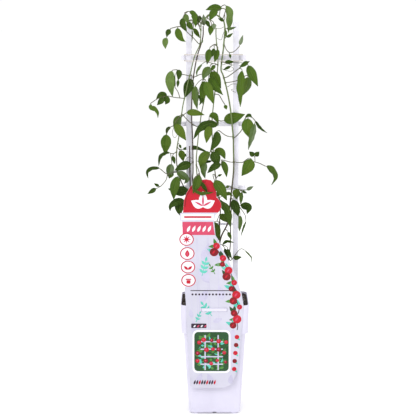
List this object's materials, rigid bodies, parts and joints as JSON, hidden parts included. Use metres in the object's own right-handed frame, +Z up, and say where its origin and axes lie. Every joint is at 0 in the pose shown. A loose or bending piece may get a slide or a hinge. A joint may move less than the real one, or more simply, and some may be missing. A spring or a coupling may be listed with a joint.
{
  "type": "clematis plant on a trellis",
  "caption": "Young climbing plant trained up a white plastic ladder trellis in a tall square pot, with a plain die-cut plant label and an elastic tie",
  "frame": {"origin": "middle of the pot's base on the surface it stands on, which is also the middle of the whole plant's box seen from above", "axes": "+Z up along the trellis, +Y to the back, +X to the right as seen from the label side"},
  "size_m": [0.2403, 0.152, 0.7414],
  "materials": {
    "white_plastic": "satin moulded polypropylene, faintly lilac white",
    "trellis_plastic": "satin moulded plastic, white",
    "peat": "damp crumbly peat compost",
    "card_plastic": "thin printed plastic sheet, semi-gloss",
    "elastic": "pale flat elastic",
    "leaf_green": "satin living leaf, paler underneath",
    "green_stem": "young green vine",
    "brown_stem": "ripened brown vine"
  },
  "bodies": {
    "root": {"pot": "white_plastic", "root_ball": "peat", "trellis": "trellis_plastic", "elastic_band": "elastic", "plant_label": "card_plastic", "stem_left": "green_stem", "stem_right": "green_stem", "stem_centre": "green_stem", "stem_pale": "green_stem", "stem_low": "green_stem", "stem_brown": "brown_stem", "stem_old": "brown_stem", "leaf_01": "leaf_green", "leaf_02": "leaf_green", "leaf_03": "leaf_green", "leaf_04": "leaf_green", "leaf_05": "leaf_green", "leaf_06": "leaf_green", "leaf_07": "leaf_green", "leaf_08": "leaf_green", "leaf_09": "leaf_green", "leaf_10": "leaf_green", "leaf_11": "leaf_green", "leaf_12": "leaf_green", "leaf_13": "leaf_green", "leaf_14": "leaf_green", "leaf_15": "leaf_green", "leaf_16": "leaf_green", "leaf_17": "leaf_green", "leaf_18": "leaf_green", "leaf_19": "leaf_green", "leaf_20": "leaf_green", "leaf_21": "leaf_green", "leaf_22": "leaf_green", "leaf_23": "leaf_green", "leaf_24": "leaf_green", "leaf_25": "leaf_green", "leaf_26": "leaf_green", "leaf_27": "leaf_green", "leaf_28": "leaf_green", "leaf_29": "leaf_green", "leaf_30": "leaf_green", "leaf_31": "leaf_green", "leaf_32": "leaf_green", "leaf_33": "leaf_green", "leaf_34": "leaf_green", "leaf_35": "leaf_green", "leaf_36": "leaf_green", "leaf_37": "leaf_green", "leaf_38": "leaf_green", "leaf_39": "leaf_green", "leaf_40": "leaf_green", "leaf_41": "leaf_green", "leaf_42": "leaf_green", "leaf_43": "leaf_green", "leaf_44": "leaf_green", "leaf_45": "leaf_green", "leaf_46": "leaf_green", "flower_bud": "leaf_green"}
  },
  "joints": []
}
